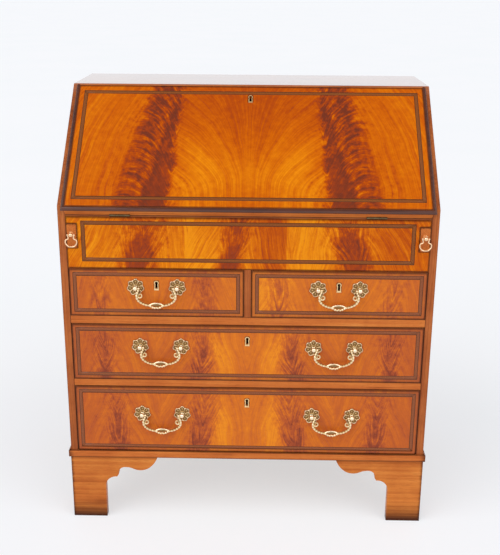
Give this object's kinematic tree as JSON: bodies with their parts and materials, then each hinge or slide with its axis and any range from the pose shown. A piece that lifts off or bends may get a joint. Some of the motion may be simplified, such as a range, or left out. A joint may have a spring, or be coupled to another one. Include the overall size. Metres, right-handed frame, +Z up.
{
  "type": "writing bureau",
  "caption": "Slant-front mahogany writing bureau with a hinged fall on sliding lopers, short and long drawers with brass bail handles, a fitted desk and bracket feet.",
  "frame": {"origin": "on the floor, under the middle of the bureau with its handles", "axes": "+Z up, -Y to the front (the drawers), +X to the right seen from the front"},
  "size_m": [0.85, 0.5024, 1.016],
  "materials": {
    "mahogany": "french polished",
    "veneered_mahogany": "french polished flame veneer",
    "drawer_wood": "bare oak, waxed",
    "pine": "bare pine",
    "brass": "cast, polished, aged",
    "writing_leather": "dyed skiver, gold tooled"
  },
  "bodies": {
    "carcase": {"side_left": "mahogany", "side_right": "mahogany", "top_board": "mahogany", "back_boards": "pine", "writing_bed": "mahogany", "dust_board": "pine", "bottom_board": "pine", "frieze_board": "veneered_mahogany", "drawer_rails": "mahogany", "short_drawer_divider": "mahogany", "drawer_runners_and_stops": "pine", "loper_guides": "pine", "base_moulding": "mahogany", "foot_front_left": "mahogany", "foot_front_right": "mahogany", "foot_rear_left": "mahogany", "foot_rear_right": "mahogany", "foot_glue_blocks": "pine", "pigeonholes": "drawer_wood", "hinge_bed_leaves": "brass"},
    "fall": {"fall_board": "veneered_mahogany", "fall_edge_bead": "mahogany", "fall_leather": "writing_leather", "fall_lock": "brass", "hinge_fall_leaves": "brass"},
    "fall_bolt": {"fall_bolt": "brass"},
    "loper_left": {"loper_left": "mahogany", "loper_stud_left": "brass"},
    "loper_ring_left": {"loper_ring_left": "brass"},
    "small_drawer_left": {"small_drawer_left": "drawer_wood"},
    "loper_right": {"loper_right": "mahogany", "loper_stud_right": "brass"},
    "loper_ring_right": {"loper_ring_right": "brass"},
    "small_drawer_right": {"small_drawer_right": "drawer_wood"},
    "short_drawer_left": {"short_drawer_left_front": "veneered_mahogany", "short_drawer_left_box": "drawer_wood", "short_drawer_left_lock": "brass", "short_drawer_left_handle_mounts": "brass"},
    "short_drawer_left_bolt": {"short_drawer_left_bolt": "brass"},
    "short_drawer_left_bail": {"short_drawer_left_bail": "brass"},
    "short_drawer_right": {"short_drawer_right_front": "veneered_mahogany", "short_drawer_right_box": "drawer_wood", "short_drawer_right_lock": "brass", "short_drawer_right_handle_mounts": "brass"},
    "short_drawer_right_bolt": {"short_drawer_right_bolt": "brass"},
    "short_drawer_right_bail": {"short_drawer_right_bail": "brass"},
    "upper_drawer": {"upper_drawer_front": "veneered_mahogany", "upper_drawer_box": "drawer_wood", "upper_drawer_lock": "brass", "upper_drawer_handle_mounts": "brass"},
    "upper_drawer_bolt": {"upper_drawer_bolt": "brass"},
    "upper_drawer_left_bail": {"upper_drawer_left_bail": "brass"},
    "upper_drawer_right_bail": {"upper_drawer_right_bail": "brass"},
    "lower_drawer": {"lower_drawer_front": "veneered_mahogany", "lower_drawer_box": "drawer_wood", "lower_drawer_lock": "brass", "lower_drawer_handle_mounts": "brass"},
    "lower_drawer_bolt": {"lower_drawer_bolt": "brass"},
    "lower_drawer_left_bail": {"lower_drawer_left_bail": "brass"},
    "lower_drawer_right_bail": {"lower_drawer_right_bail": "brass"}
  },
  "joints": [
    {"name": "fall_hinge", "type": "hinge", "parent": "carcase", "child": "fall", "pos_m": [0, -0.23375, 0.759], "axis": [1, 0, 0], "range_deg": [0, 136.75]},
    {"name": "fall_bolt_slide", "type": "slide", "parent": "fall", "child": "fall_bolt", "axis": [0, 0.7284, 0.6852], "range_m": [0, 0.01]},
    {"name": "loper_slide_left", "type": "slide", "parent": "carcase", "child": "loper_left", "axis": [0, -1, 0], "range_m": [0, 0.3]},
    {"name": "loper_ring_hinge_left", "type": "hinge", "parent": "loper_left", "child": "loper_ring_left", "pos_m": [-0.391, -0.24225, 0.7147], "axis": [-1, 0, 0], "range_deg": [0, 90]},
    {"name": "small_drawer_slide_left", "type": "slide", "parent": "carcase", "child": "small_drawer_left", "axis": [0, -1, 0], "range_m": [0, 0.14]},
    {"name": "loper_slide_right", "type": "slide", "parent": "carcase", "child": "loper_right", "axis": [0, -1, 0], "range_m": [0, 0.3]},
    {"name": "loper_ring_hinge_right", "type": "hinge", "parent": "loper_right", "child": "loper_ring_right", "pos_m": [0.391, -0.24225, 0.7147], "axis": [-1, 0, 0], "range_deg": [0, 90]},
    {"name": "small_drawer_slide_right", "type": "slide", "parent": "carcase", "child": "small_drawer_right", "axis": [0, -1, 0], "range_m": [0, 0.14]},
    {"name": "short_drawer_left_slide", "type": "slide", "parent": "carcase", "child": "short_drawer_left", "axis": [0, -1, 0], "range_m": [0, 0.34]},
    {"name": "short_drawer_left_bolt_slide", "type": "slide", "parent": "short_drawer_left", "child": "short_drawer_left_bolt", "axis": [0, 0, 1], "range_m": [0, 0.007]},
    {"name": "short_drawer_left_bail_hinge", "type": "hinge", "parent": "short_drawer_left", "child": "short_drawer_left_bail", "pos_m": [-0.20525, -0.24575, 0.593], "axis": [-1, 0, 0], "range_deg": [0, 90]},
    {"name": "short_drawer_right_slide", "type": "slide", "parent": "carcase", "child": "short_drawer_right", "axis": [0, -1, 0], "range_m": [0, 0.34]},
    {"name": "short_drawer_right_bolt_slide", "type": "slide", "parent": "short_drawer_right", "child": "short_drawer_right_bolt", "axis": [0, 0, 1], "range_m": [0, 0.007]},
    {"name": "short_drawer_right_bail_hinge", "type": "hinge", "parent": "short_drawer_right", "child": "short_drawer_right_bail", "pos_m": [0.20525, -0.24575, 0.593], "axis": [-1, 0, 0], "range_deg": [0, 90]},
    {"name": "upper_drawer_slide", "type": "slide", "parent": "carcase", "child": "upper_drawer", "axis": [0, -1, 0], "range_m": [0, 0.34]},
    {"name": "upper_drawer_bolt_slide", "type": "slide", "parent": "upper_drawer", "child": "upper_drawer_bolt", "axis": [0, 0, 1], "range_m": [0, 0.007]},
    {"name": "upper_drawer_left_bail_hinge", "type": "hinge", "parent": "upper_drawer", "child": "upper_drawer_left_bail", "pos_m": [-0.199, -0.24575, 0.45], "axis": [-1, 0, 0], "range_deg": [0, 90]},
    {"name": "upper_drawer_right_bail_hinge", "type": "hinge", "parent": "upper_drawer", "child": "upper_drawer_right_bail", "pos_m": [0.199, -0.24575, 0.45], "axis": [-1, 0, 0], "range_deg": [0, 90]},
    {"name": "lower_drawer_slide", "type": "slide", "parent": "carcase", "child": "lower_drawer", "axis": [0, -1, 0], "range_m": [0, 0.34]},
    {"name": "lower_drawer_bolt_slide", "type": "slide", "parent": "lower_drawer", "child": "lower_drawer_bolt", "axis": [0, 0, 1], "range_m": [0, 0.007]},
    {"name": "lower_drawer_left_bail_hinge", "type": "hinge", "parent": "lower_drawer", "child": "lower_drawer_left_bail", "pos_m": [-0.199, -0.24575, 0.279], "axis": [-1, 0, 0], "range_deg": [0, 90]},
    {"name": "lower_drawer_right_bail_hinge", "type": "hinge", "parent": "lower_drawer", "child": "lower_drawer_right_bail", "pos_m": [0.199, -0.24575, 0.279], "axis": [-1, 0, 0], "range_deg": [0, 90]}
  ]
}
